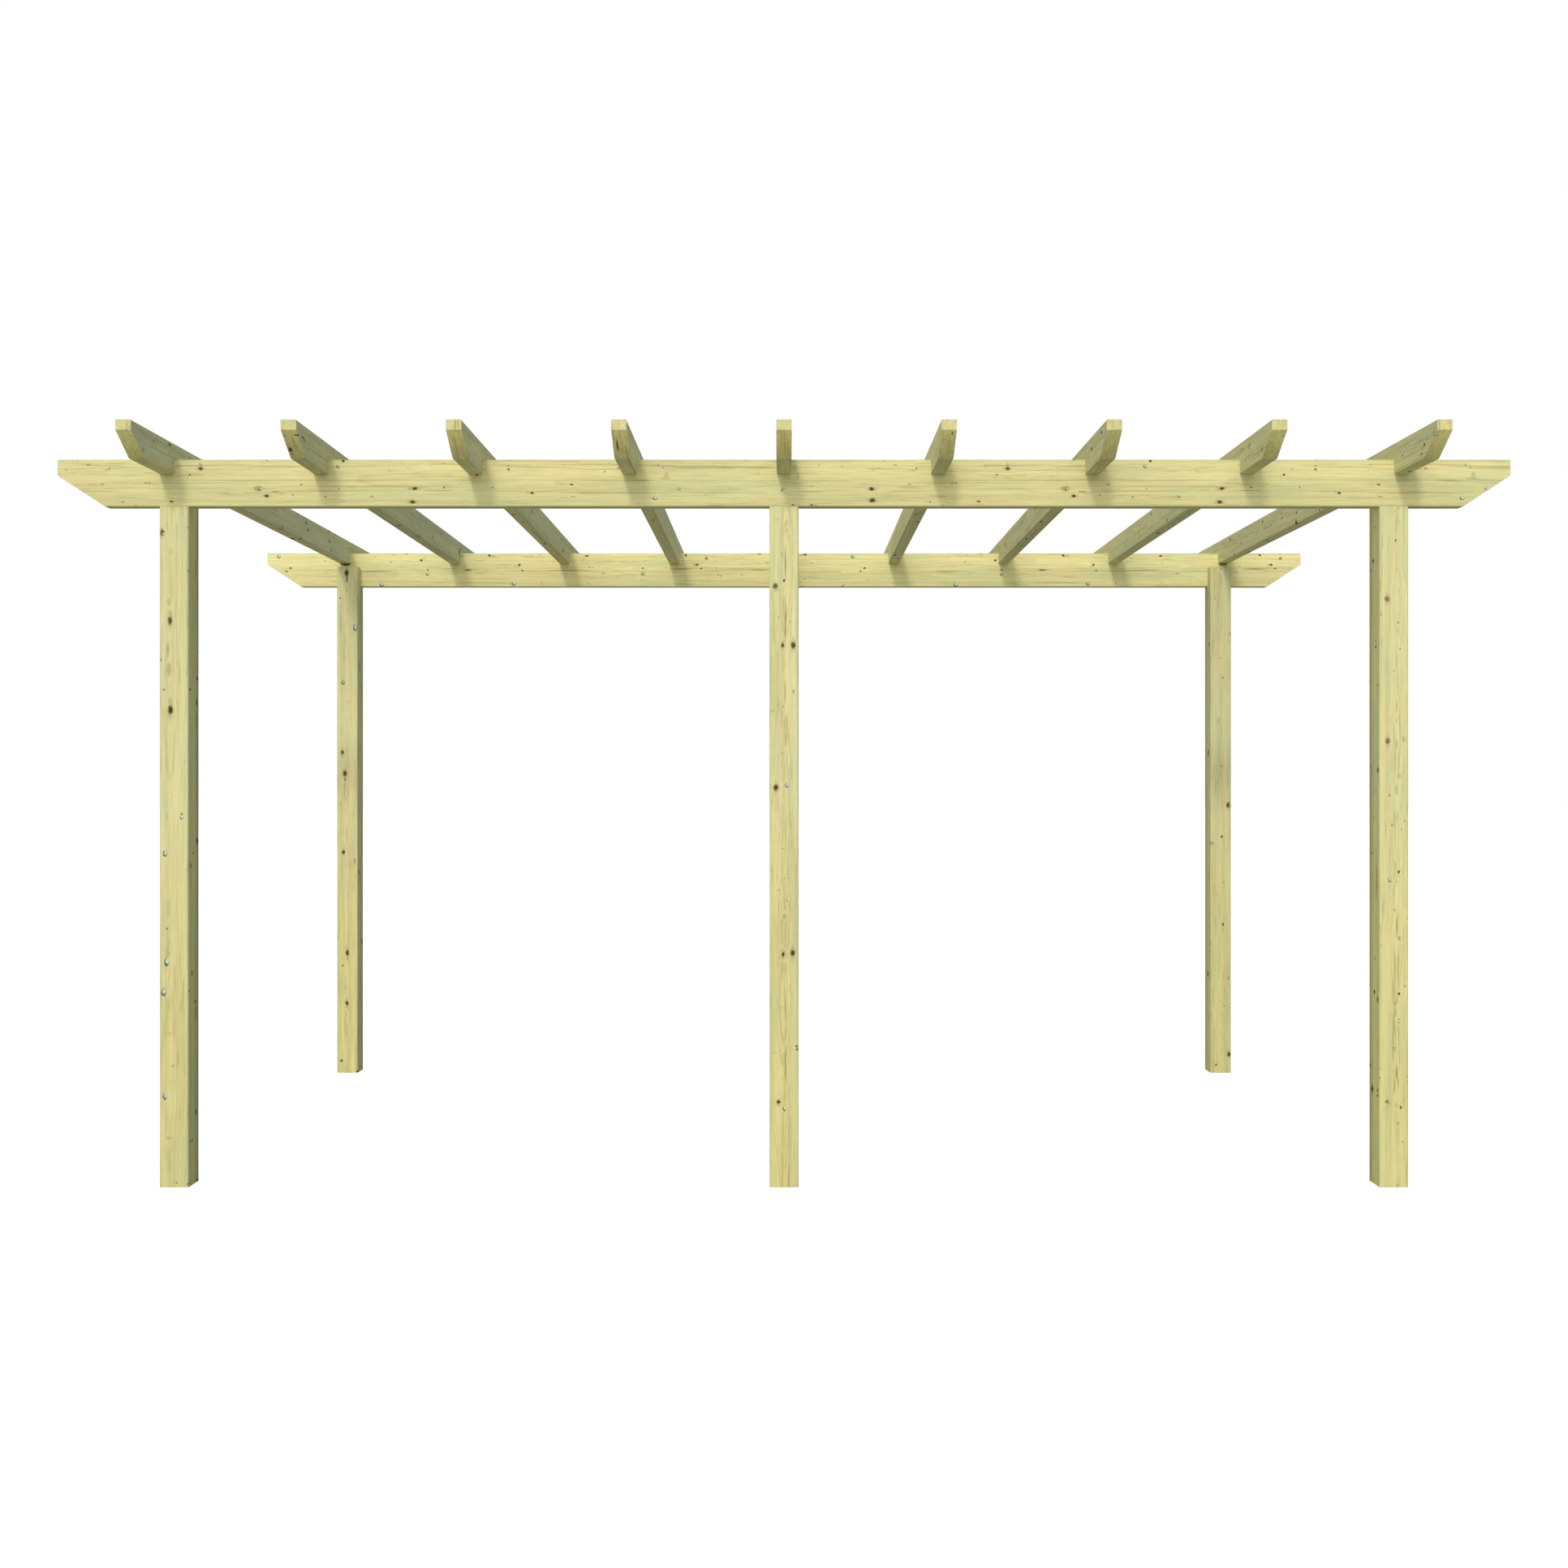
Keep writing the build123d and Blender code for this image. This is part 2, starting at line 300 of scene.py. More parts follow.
KNOTS["beam_front", "front"] = (
    (95.5, 568, 1, 1, 40), (81.5, 579, 2, 1.3, 30), (79.5, 602.5, 3, 2.2, 90), (80.5, 616.5, 3.5, 2.5, 90),
    (108.5, 573, 2, 1.2, 50), (131, 579, 2.5, 1.2, 30), (126, 597, 2.5, 1.2, 45), (148, 618, 2.5, 1, 25),
    (167, 623, 2, 1, 35), (184, 595, 1.2, 1, 60), (211, 618, 3, 1.3, 95), (220, 574, 2.6, 2.6, 25),
    (247, 577.5, 2.5, 2, 80), (234, 585, 1.5, 1.2, 75), (231.5, 588, 1, 1.5, 35), (250, 602, 2, 0.7, 30),
    (318, 602, 4, 2.5, 45), (328.5, 611, 2.6, 1.8, 90), (328.5, 567.5, 2.2, 1, 50),
    (325, 571, 1.5, 0.7, 30), (308.5, 576.5, 1.8, 1.2, 25), (339, 606, 5, 0.9, 50), (347, 608, 4, 0.6, 40),
    (360.5, 610, 1.5, 1, 50), (371.5, 597, 1.8, 1, 60), (401, 612, 1.8, 1.4, 55), (423, 568, 2.3, 1.7, 85),
    (458, 612, 2, 1.3, 50), (480, 580, 1.7, 0.9, 35), (496, 571.5, 1, 1, 30), (502.5, 575.5, 1, 0.7, 40),
    (511, 602, 2.8, 1.7, 95), (507, 602.5, 3.5, 2, 30), (508.5, 618.5, 2.8, 2, 95),
    (507.5, 619, 5, 2.2, 30), (532, 573.5, 1.3, 0.9, 35), (547, 571.5, 3, 0.6, 45),
    (547, 600.5, 1.6, 1, 70), (566.5, 597.5, 1.4, 0.9, 40), (587.5, 585, 1.8, 1.4, 90),
    (583.5, 588.5, 1, 1.5, 35), (597.5, 578, 1, 1.3, 40), (607, 600.5, 1.4, 0.9, 60),
    (626.5, 574, 1.8, 0.9, 55), (626.5, 578.5, 2.2, 1.3, 85), (628, 567.3, 2, 0.6, 40),
    (655.5, 607.5, 2.6, 1.5, 95), (650.5, 606, 0.8, 2, 30), (694, 573, 1.8, 0.7, 40),
    (704, 597, 3.2, 1, 85), (706, 612, 3, 0.9, 50), (745, 581, 2, 1.2, 45), (751, 570.5, 1.5, 0.7, 35),
    (762, 577, 2, 1.2, 55), (870, 610, 1.8, 1, 30), (899.5, 604, 1.8, 0.9, 30), (904.5, 614.5, 1, 0.7, 40),
    (919.5, 567.5, 1.5, 0.9, 40), (931.5, 584.5, 0.9, 0.9, 40), (935, 583.5, 0.7, 1.2, 35),
    (963.5, 604, 1.2, 2.4, 60), (966, 602, 2, 1, 40), (977.5, 622, 2, 1.1, 98), (979, 577, 3, 4, 25),
    (983, 586, 1.5, 4, 30), (1000, 622, 2, 1.2, 90), (1004, 622.5, 3, 1, 40), (1001, 599, 1.5, 0.9, 30),
    (1009, 573, 1.5, 0.9, 35), (1037.5, 575, 1.7, 0.8, 50), (1061, 572.5, 0.8, 0.8, 35),
)
KNOTS["beam_back", "front"] = (
    (358, 700, 1.8, 1.3, 95), (353, 704, 1.5, 1.2, 90), (362, 715, 1, 0.8, 50), (400.5, 691, 1.3, 0.8, 40),
    (403, 705.5, 1.5, 0.7, 25), (462, 686, 1.3, 0.7, 35), (485, 684, 1, 0.8, 50),
    (482, 692.5, 1.2, 0.9, 55), (501, 682.3, 2, 0.5, 70), (519, 690.5, 2, 1.6, 90),
    (523, 688, 2.5, 1.2, 25), (527, 702, 1.5, 1.3, 85), (549.5, 713.5, 2, 1, 25), (577, 702.5, 5, 0.9, 80),
    (603, 684.5, 2.2, 1.4, 95), (607, 685, 3, 1, 40), (637, 698, 2.5, 1.2, 30), (640, 696, 1.7, 1.8, 95),
    (643.5, 703, 1.6, 1.2, 90), (655, 684, 2, 0.7, 30), (665, 683.5, 1, 0.7, 40),
    (667.5, 718.5, 1.2, 0.9, 40), (682, 692.5, 1.2, 0.7, 50), (723, 685, 2.8, 1.3, 95),
    (724.5, 694.5, 1.3, 0.8, 25), (726.5, 699.5, 1.2, 0.7, 50), (730.5, 699.5, 0.9, 0.7, 50),
    (743.5, 706.5, 2, 1, 45), (724, 718.5, 1, 0.8, 40), (795, 691.5, 0.9, 0.7, 40),
    (792, 700, 1.5, 1.3, 90), (790.5, 715, 1.3, 0.9, 40), (820, 698, 1.5, 0.9, 30), (815, 705, 2, 0.8, 25),
    (845, 684, 1.8, 1.5, 95), (870.5, 688, 2.2, 1.8, 65), (856, 696, 2, 1.3, 40), (859, 696, 2, 1.7, 90),
    (864, 700.5, 1.5, 1, 90), (882.5, 699.5, 0.8, 1.2, 40), (885, 708.5, 1.5, 1, 50),
    (888, 709.5, 1.2, 0.9, 50), (914, 686.5, 1.3, 0.9, 30), (914, 709, 1.3, 1.1, 35),
    (935.5, 682.7, 3, 0.7, 80), (945, 693, 2, 1, 35), (857, 719.5, 2, 0.8, 25), (992, 683.5, 2.5, 1.4, 95),
    (988, 684, 3, 1, 40), (1000, 694, 1, 0.9, 50), (991, 713, 2.5, 1.3, 30),
)
KNOTS["rafter_1", "right"] = (
    (209, 548, 1.5, 2, 95), (176, 554, 2, 2.5, 40), (209, 557, 1.8, 1.5, 35), (234, 564.5, 2, 1.2, 40),
    (351, 629, 1, 0.8, 50), (367, 635, 0.7, 3, 40), (377, 644, 0.9, 2.2, 90), (379.3, 653, 0.9, 2.2, 90),
    (405.5, 654.5, 1.2, 1.3, 95), (406, 667, 1, 2, 70), (408, 678, 0.9, 2, 50),
)
KNOTS["rafter_1", "front"] = ((158.5, 527, 0.8, 1, 50),)
KNOTS["rafter_1", "under"] = ((346, 652, 3, 1, 40), (360, 663.5, 3, 0.9, 90), (370, 664, 1.5, 0.8, 60))
KNOTS["rafter_2", "right"] = (
    (367.5, 536, 1, 1.5, 70), (373, 539, 1.5, 2, 60), (375, 542, 1.2, 2, 50), (397, 543, 1.5, 0.8, 50),
    (533, 662, 0.7, 3, 50), (517, 649, 1.5, 1, 30), (566, 680, 0.8, 4, 70),
)
KNOTS["rafter_2", "slant"] = (
    (350.7, 537, 1.2, 1.2, 95), (358, 554, 2.2, 2.8, 85), (360, 559, 1.2, 1.5, 60),
)
KNOTS["rafter_2", "under"] = ((492, 647.5, 3, 0.7, 80), (515, 661, 2.5, 1.2, 50))
KNOTS["rafter_3", "right"] = ((655, 631, 0.7, 2.5, 60), (694, 679, 0.8, 3, 70))
KNOTS["rafter_3", "under"] = ((633, 634, 2.5, 0.8, 60), (671.5, 670, 1.5, 1, 90))
KNOTS["rafter_4", "slant"] = ((760.8, 549, 1, 6, 80),)
KNOTS["rafter_4", "under"] = ((805, 641, 2.2, 0.7, 80), (810, 664, 1, 1.3, 40))
KNOTS["rafter_6", "slant"] = ((1173.5, 534.5, 1, 2.3, 80),)
KNOTS["rafter_6", "under"] = (
    (1103, 684, 2.2, 0.8, 90), (1107, 688, 1.5, 0.7, 70), (1129, 634, 1.5, 1.5, 50),
    (1131, 643, 2, 0.8, 80),
)
KNOTS["rafter_7", "left"] = (
    (1357, 533, 1, 2.5, 90), (1345, 553, 1, 2.7, 90), (1259, 644, 0.6, 2.5, 50),
    (1238.5, 671, 0.8, 2.5, 70), (1275.5, 628, 0.8, 1.5, 60),
)
KNOTS["rafter_7", "under"] = ((1283, 643, 2, 0.9, 90), (1264.5, 664, 1.8, 0.9, 80))
KNOTS["rafter_8", "left"] = (
    (1535, 567, 1, 1.5, 35), (1530, 553.5, 3, 0.8, 50), (1539, 551, 0.8, 3, 50), (1555, 553, 0.8, 4, 50),
    (1438, 641, 0.6, 2.5, 80), (1403.5, 657, 0.6, 2.5, 50), (1387, 673, 1, 1, 40), (1419, 648, 1, 1, 35),
    (1409, 633, 0.6, 2, 35),
)
KNOTS["rafter_8", "slant"] = ((1581.5, 537, 0.8, 1, 80),)
KNOTS["rafter_8", "under"] = ((1427, 657, 2.5, 0.8, 95),)
KNOTS["rafter_9", "left"] = (
    (1755, 548, 1, 2.3, 90), (1753, 551, 1.8, 2, 30), (1751.3, 559.5, 0.9, 1.5, 90),
    (1728, 561, 1, 1.3, 80), (1729.5, 557, 0.8, 1.5, 40), (1758, 540, 1.5, 0.8, 50),
    (1767, 532.5, 2, 0.7, 60), (1767, 536, 1, 1, 50), (1597.5, 631.5, 0.9, 1.5, 90),
    (1626, 628.5, 0.9, 1.5, 80), (1579, 633, 1, 1, 50), (1580, 638, 2, 1, 50), (1566, 647, 1, 1, 60),
    (1561, 650, 3, 0.7, 60), (1557.5, 651, 1.5, 0.8, 50), (1555.5, 643, 0.7, 2.2, 90),
    (1570, 642, 1, 0.8, 40), (1529, 669.5, 0.9, 1, 60), (1515.7, 664.5, 0.7, 2.3, 80),
    (1523, 670, 1, 0.8, 40), (1520.5, 683, 0.8, 1.3, 70), (1549, 655, 3, 0.6, 40), (1544, 657, 2, 0.6, 40),
    (1535, 662, 2, 0.5, 30),
)
KNOTS["rafter_9", "under"] = (
    (1592, 646.5, 1.3, 1, 70), (1597, 645.5, 3, 0.7, 80), (1562, 666, 2.5, 0.6, 70),
    (1539, 680, 1.8, 0.8, 95), (1737, 580.5, 2.2, 0.8, 95),
)
PLUGS = {}
PLUGS["post_front_left", "front"] = (
    (201, 658, 1.3, 1.9, 80), (224, 1007, 2, 2.2, 100), (204, 1051, 2.8, 4, 80), (206, 1184, 3, 5.5, 90),
    (202, 1221.5, 3, 4.8, 100), (203.5, 1350, 2.5, 4, 80),
)
PLUGS["post_front_middle", "front"] = ((969.8, 967, 2, 3.2, 100), (967, 1365.5, 2, 3, 100))
PLUGS["post_front_right", "front"] = ((1712.8, 1083.5, 2.2, 3, 100), (1702, 756, 1, 1.2, 60))
PLUGS["post_back_left", "front"] = ((438, 772.5, 2.6, 4, 80), (423.3, 840, 2.2, 3, 50))
PLUGS["post_back_right", "front"] = ((1505.3, 700, 1.4, 1.4, 90), (1509, 1237.5, 1, 1.8, 90))
PLUGS["beam_front", "front"] = (
    (135, 577, 1, 1.5, 40), (180, 595, 2, 0.8, 40), (152, 618, 1.5, 1.2, 40), (247.5, 571.5, 2, 1.7, 90),
    (320.5, 602.5, 2.2, 2, 80), (417, 574.5, 2.5, 2, 70), (418.5, 602, 1, 1, 40), (807.5, 613.5, 3, 2, 100),
    (812, 572.5, 1.4, 1.3, 70), (817.5, 575.5, 1.3, 1.2, 70), (837, 602, 2, 1.7, 60),
)
PLUGS["beam_back", "front"] = (
    (330.8, 720, 2.8, 2.2, 100), (344, 685.5, 2.3, 2.3, 80), (471, 720, 2.8, 2.4, 80),
    (527.5, 707.5, 2.3, 1.8, 80), (634, 719, 3, 2.2, 100), (792.5, 706.5, 2.2, 2, 60),
)
STREAKS = {}
STREAKS["post_front_left", "front"] = (
    (209, 700, 0.6, 30, 30), (212, 712, 0.5, 28, 30), (206.5, 800, 2, 8, 50), (208, 825, 3, 8, 50),
    (207, 1120, 2, 10, 35), (206, 1160, 1, 12, 30), (205, 1385, 0.6, 14, 40), (211, 1385, 0.5, 16, 35),
    (207.5, 1430, 1, 16, 45), (210, 1430, 0.5, 22, 35),
)
STREAKS["post_front_middle", "front"] = (
    (963, 650, 0.4, 35, 25), (965, 655, 0.4, 38, 25), (970, 645, 0.4, 30, 25), (972.5, 640, 0.4, 25, 30),
    (967.8, 694, 1.1, 20, 85), (966, 742, 1, 8, 40), (968, 766, 1.2, 28, 80), (967.5, 853, 1.3, 14, 50),
    (963.8, 884, 0.5, 10, 30), (970.5, 895, 0.5, 14, 35), (968, 912, 1.6, 7, 45), (969.7, 940, 0.5, 20, 35),
    (966, 945, 0.5, 16, 30), (968, 1025, 0.8, 18, 45), (967, 1055, 1, 10, 30), (966.5, 1092, 1.2, 10, 40),
    (968.7, 1098, 0.5, 10, 35), (967.2, 1114, 0.8, 8, 50), (966, 1196, 0.8, 6, 40),
    (966.5, 1225, 0.5, 20, 40), (968, 1240, 0.9, 24, 60), (962.5, 1265, 0.5, 22, 35),
    (968, 1272, 0.6, 12, 50), (967.8, 1305, 1, 20, 75), (968, 1322, 1.4, 10, 60),
    (966.3, 1345, 0.6, 14, 40), (965, 1390, 0.6, 18, 50), (972.5, 1395, 0.6, 22, 50),
    (975, 1400, 0.5, 20, 35), (964.3, 1440, 0.7, 24, 50), (972, 1450, 0.7, 16, 60),
    (968, 1430, 0.4, 20, 30),
)
STREAKS["post_front_right", "front"] = (
    (1721, 815, 0.9, 10, 40), (1722.5, 840, 0.7, 14, 40), (1721, 870, 1, 7, 45), (1720.5, 888, 1.2, 3, 35),
    (1724.5, 890, 0.6, 18, 50), (1724.8, 905, 0.5, 25, 40), (1717.5, 905, 0.6, 15, 50),
    (1721, 916, 0.8, 6, 60), (1719, 930, 0.6, 20, 45), (1723.5, 940, 0.7, 16, 60),
    (1720.3, 973, 1.3, 6, 45), (1722.5, 970, 0.6, 10, 35), (1721, 1005, 1, 6, 35),
    (1719, 1020, 0.6, 18, 40), (1722.7, 1020, 0.5, 18, 35), (1720, 1066, 1.2, 4, 40),
    (1721.2, 1141, 1.2, 14, 75), (1718.5, 1195, 0.7, 25, 55), (1723, 1195, 0.7, 22, 60),
    (1724, 1185, 0.4, 18, 30), (1716.3, 1225, 0.6, 20, 45), (1719, 1236, 1.4, 3, 55),
    (1722, 1230, 0.7, 7, 50), (1719.5, 1247, 1, 5, 40), (1717, 1262, 0.8, 16, 60),
    (1723.3, 1275, 0.6, 18, 60), (1716.5, 1290, 0.7, 20, 60), (1724.5, 1305, 0.5, 16, 50),
    (1720.7, 1322, 1.5, 10, 85), (1718, 1338, 1, 10, 70), (1723, 1335, 0.8, 8, 60),
)
STREAKS["post_back_left", "front"] = (
    (422, 750, 0.4, 20, 25), (428.5, 745, 0.3, 16, 25), (427, 765, 0.7, 6, 30), (424.5, 975, 0.8, 8, 40),
    (426, 1000, 1, 8, 25), (426.5, 1025, 0.8, 8, 25), (426, 1205, 1, 4, 30), (424.5, 1215, 0.6, 5, 30),
    (424.8, 1265, 0.4, 18, 30), (427.5, 1268, 0.4, 18, 30),
)
STREAKS["post_back_right", "front"] = (
    (1501, 785, 0.8, 8, 20), (1498, 880, 0.4, 10, 30), (1502.5, 925, 0.6, 12, 30), (1503, 950, 0.4, 24, 35),
    (1505, 955, 0.4, 20, 40), (1513, 1040, 0.4, 14, 30), (1503.7, 1120, 0.4, 16, 40),
    (1501, 1195, 0.4, 10, 35), (1505, 1195, 0.4, 8, 30),
)
STREAKS["beam_front", "front"] = (
    (821, 586, 2.4, 4.2, 42), (819.5, 589.5, 6, 2, 36), (95, 577.5, 20, 0.5, 40), (120, 573.5, 30, 0.5, 35),
    (142, 571, 12, 0.6, 50), (240, 574, 28, 0.8, 60), (280, 573, 30, 0.6, 45), (340, 574.5, 40, 0.9, 55),
    (300, 579, 50, 0.5, 35), (395, 575, 20, 0.5, 40), (430, 574.5, 40, 0.5, 30), (560, 580, 120, 0.4, 25),
    (630, 573, 25, 0.6, 40), (660, 575.5, 40, 0.8, 45), (740, 572.5, 55, 0.7, 50), (740, 578, 45, 0.6, 45),
    (800, 573, 20, 0.6, 45), (860, 574.5, 70, 0.7, 50), (890, 576, 70, 0.8, 60), (940, 576.5, 22, 0.8, 75),
    (850, 577.5, 30, 0.6, 40), (305, 591.8, 115, 0.7, 50), (440, 592.5, 40, 0.7, 45),
    (610, 591.5, 200, 0.6, 35), (790, 592, 18, 0.9, 80), (880, 592, 60, 0.5, 40), (200, 595, 80, 0.6, 40),
    (430, 599, 100, 0.6, 40), (480, 600, 60, 0.5, 35), (400, 605, 60, 0.8, 50), (440, 604.5, 60, 0.5, 35),
    (540, 604.8, 18, 0.7, 55), (320, 607, 20, 0.6, 40), (360, 607, 30, 0.5, 40), (240, 602, 30, 0.5, 30),
    (120, 605.5, 25, 0.7, 50), (110, 610, 20, 0.5, 30), (130, 613, 40, 0.5, 25), (650, 605.5, 40, 0.6, 45),
    (694, 597, 8, 0.5, 40), (695, 613, 6, 0.5, 40), (710, 604.5, 40, 0.5, 35), (750, 607, 60, 0.8, 55),
    (880, 607, 25, 0.5, 35), (930, 607, 20, 0.5, 30), (850, 611, 30, 0.5, 30), (600, 612, 60, 0.4, 25),
    (450, 616, 50, 0.4, 25), (1000, 605.5, 16, 0.7, 60), (1030, 604.5, 30, 0.5, 45),
    (1000, 610, 60, 0.5, 30), (1020, 592.5, 30, 0.5, 40), (1020, 620, 30, 0.5, 40),
)
STREAKS["beam_back", "front"] = (
    (400, 703, 35, 0.5, 35), (460, 704, 18, 0.8, 80), (520, 702.8, 50, 0.5, 35), (580, 701.5, 10, 0.9, 50),
    (600, 703.5, 40, 0.5, 40), (600, 701, 60, 0.5, 35), (660, 703.5, 50, 0.7, 60), (700, 703, 30, 0.9, 85),
    (690, 700, 30, 0.5, 40), (760, 704, 50, 0.5, 35), (840, 701, 14, 1, 85), (850, 700, 30, 0.6, 50),
    (900, 702, 25, 0.6, 55), (920, 700, 50, 0.5, 45), (935, 702, 18, 0.9, 70), (925, 682.5, 6, 0.4, 50),
    (1000, 705, 30, 0.5, 45), (1025, 704.5, 18, 0.6, 50), (600, 718, 30, 0.8, 45), (500, 717, 60, 0.5, 30),
    (480, 711, 70, 0.4, 25), (700, 713.5, 60, 0.4, 25), (900, 715.5, 60, 0.4, 25),
)
STREAKS["rafter_1", "right"] = (
    (170, 540, 6, 0.6, 30), (185, 541, 8, 0.8, 35), (200, 546, 14, 0.7, 45), (190, 553, 12, 0.6, 35),
    (205, 560, 10, 0.6, 35), (218, 558, 10, 0.6, 30), (339, 628, 6, 0.8, 70),
)
STREAKS["rafter_1", "front"] = ((156, 523, 0.8, 9, 50), (150, 523, 0.4, 8, 30))
STREAKS["rafter_2", "right"] = ((400, 565, 14, 0.5, 35), (390, 560, 14, 0.5, 30), (500, 658, 8, 0.6, 30))
STREAKS["rafter_2", "slant"] = ((362, 545, 1.2, 9, 60), (353, 540, 0.5, 9, 40), (368, 556, 0.7, 10, 40))
STREAKS["rafter_3", "slant"] = (
    (558, 545, 0.5, 14, 50), (560, 542, 0.7, 12, 60), (563, 555, 0.7, 14, 60), (566, 545, 0.5, 14, 40),
    (570, 550, 0.6, 12, 50),
)
STREAKS["rafter_3", "front"] = ((560.5, 523, 1.6, 9, 55), (564.5, 523, 0.5, 8, 50))
STREAKS["rafter_3", "under"] = ((663, 660, 0.8, 8, 90),)
STREAKS["rafter_4", "slant"] = (
    (771.5, 556, 0.6, 8, 80), (773.5, 561, 0.7, 7, 90), (756, 540, 0.6, 12, 40), (764, 545, 0.5, 14, 35),
    (767, 552, 0.5, 12, 40),
)
STREAKS["rafter_4", "under"] = ((777, 572, 0.6, 6, 80), (781, 579, 0.7, 4, 60), (820, 662, 0.8, 5, 40))
STREAKS["rafter_5", "slant"] = (
    (960, 546, 0.5, 14, 35), (962.5, 545, 0.6, 15, 50), (966.5, 545, 0.9, 14, 50), (970, 548, 0.5, 13, 45),
)
STREAKS["rafter_6", "slant"] = ((1169, 548, 1.5, 12, 35),)
STREAKS["rafter_7", "front"] = ((1370.5, 523, 0.5, 8, 50), (1373.5, 523, 0.4, 8, 40))
STREAKS["rafter_8", "left"] = ((1537, 563, 8, 0.7, 40), (1552, 556, 8, 0.7, 50), (1530, 556, 7, 0.6, 40))
STREAKS["rafter_9", "left"] = ((1742, 552, 8, 0.6, 50), (1748, 545, 7, 0.6, 40), (1735, 562, 9, 0.6, 40))
STREAKS["rafter_9", "front"] = ((1774, 523, 0.8, 8, 50), (1787, 523, 0.6, 8, 40))
# Painted shade: dark patches on the back beam where it shows through the gaps over the back posts' heads
PAINTED_GAP_SHADE = {}
PAINTED_GAP_SHADE["beam_back", "front"] = ((426, 694.8, 6.6, 2.1, 90), (1506.5, 694.6, 5, 1.4, 90))


class Graph:
    """Adds nodes to one tree. A value is a number, a tuple or another node's socket."""

    def __init__(self, tree):
        self.tree = tree

    def feed(self, socket, value):
        if isinstance(value, bpy.types.NodeSocket):
            self.tree.links.new(value, socket)
        elif socket.type == "RGBA":
            socket.default_value = (*value[:3], 1.0)
        else:
            socket.default_value = value

    def add(self, kind, inputs=None, **settings):
        node = self.tree.nodes.new(kind)
        for name, value in settings.items():
            setattr(node, name, value)
        for name, value in (inputs or {}).items():
            self.feed(node.inputs[name], value)
        return node

    def math(self, operation, a, b=0.0):
        return self.add("ShaderNodeMath", {0: a, 1: b}, operation=operation).outputs[0]

    def product(self, value, *others):
        for other in others:
            value = self.math("MULTIPLY", value, other)
        return value

    def vector_math(self, operation, a, b=(0.0, 0.0, 0.0)):
        node = self.add("ShaderNodeVectorMath", {0: a, 1: b}, operation=operation)
        return node.outputs["Value" if operation == "LENGTH" else "Vector"]

    def noise(self, vector, scale=1.0, detail=2.0, roughness=0.5):
        inputs = {"Vector": vector, "Scale": scale, "Detail": detail, "Roughness": roughness}
        return self.add("ShaderNodeTexNoise", inputs).outputs

    def pattern(self, vector, rate, **settings):
        """Noise with its own rate along each axis."""
        return self.noise(self.vector_math("MULTIPLY", vector, rate), **settings)

    def stray(self, noise_colour, reach):
        """A shift either way along each axis from the colour of a noise."""
        centred = self.vector_math("SUBTRACT", noise_colour, (0.5, 0.5, 0.5))
        return self.vector_math("MULTIPLY", centred, reach)

    def ramp(self, value, low, high, to_low=0.0, to_high=1.0):
        inputs = {0: value, 1: low, 2: high, 3: to_low, 4: to_high}
        return self.add("ShaderNodeMapRange", inputs, interpolation_type="SMOOTHSTEP").outputs[0]

    def mix(self, factor, a, b, blend="MIX"):
        node = self.add("ShaderNodeMix", {0: factor, 6: a, 7: b}, data_type="RGBA", blend_type=blend)
        return node.outputs[2]

    def tinted(self, colour, tint, strength=1.0):
        return self.mix(strength, colour, tint, blend="MULTIPLY")

    def parts(self, vector):
        return self.add("ShaderNodeSeparateXYZ", {0: vector}).outputs

    def join(self, x, y, z):
        return self.add("ShaderNodeCombineXYZ", {0: x, 1: y, 2: z}).outputs[0]

    def group(self, tree, inputs):
        return self.add("ShaderNodeGroup", inputs, node_tree=tree).outputs


def values(*names):
    """Sockets for plain values."""
    return dict.fromkeys(names, "Float")


def new_group(name, takes, gives):
    """An empty shader group with named sockets: its graph, what it is given and its outputs."""
    tree = bpy.data.node_groups.new(name, "ShaderNodeTree")
    for direction, sockets in (("INPUT", takes), ("OUTPUT", gives)):
        for socket, kind in sockets.items():
            tree.interface.new_socket(socket, in_out=direction, socket_type=f"NodeSocket{kind}")
    graph = Graph(tree)
    return graph, graph.add("NodeGroupInput").outputs, graph.add("NodeGroupOutput").inputs


# Growth rings


def off_heart(graph, given):
    """How far along a point lies, and how far off the heart line across and up."""
    along, across, up = graph.parts(given["Vector"])
    off_across = graph.math("SUBTRACT", across, given["Heart Y"])
    off_up = graph.math("SUBTRACT", up, given["Heart Z"])
    return along, off_across, off_up


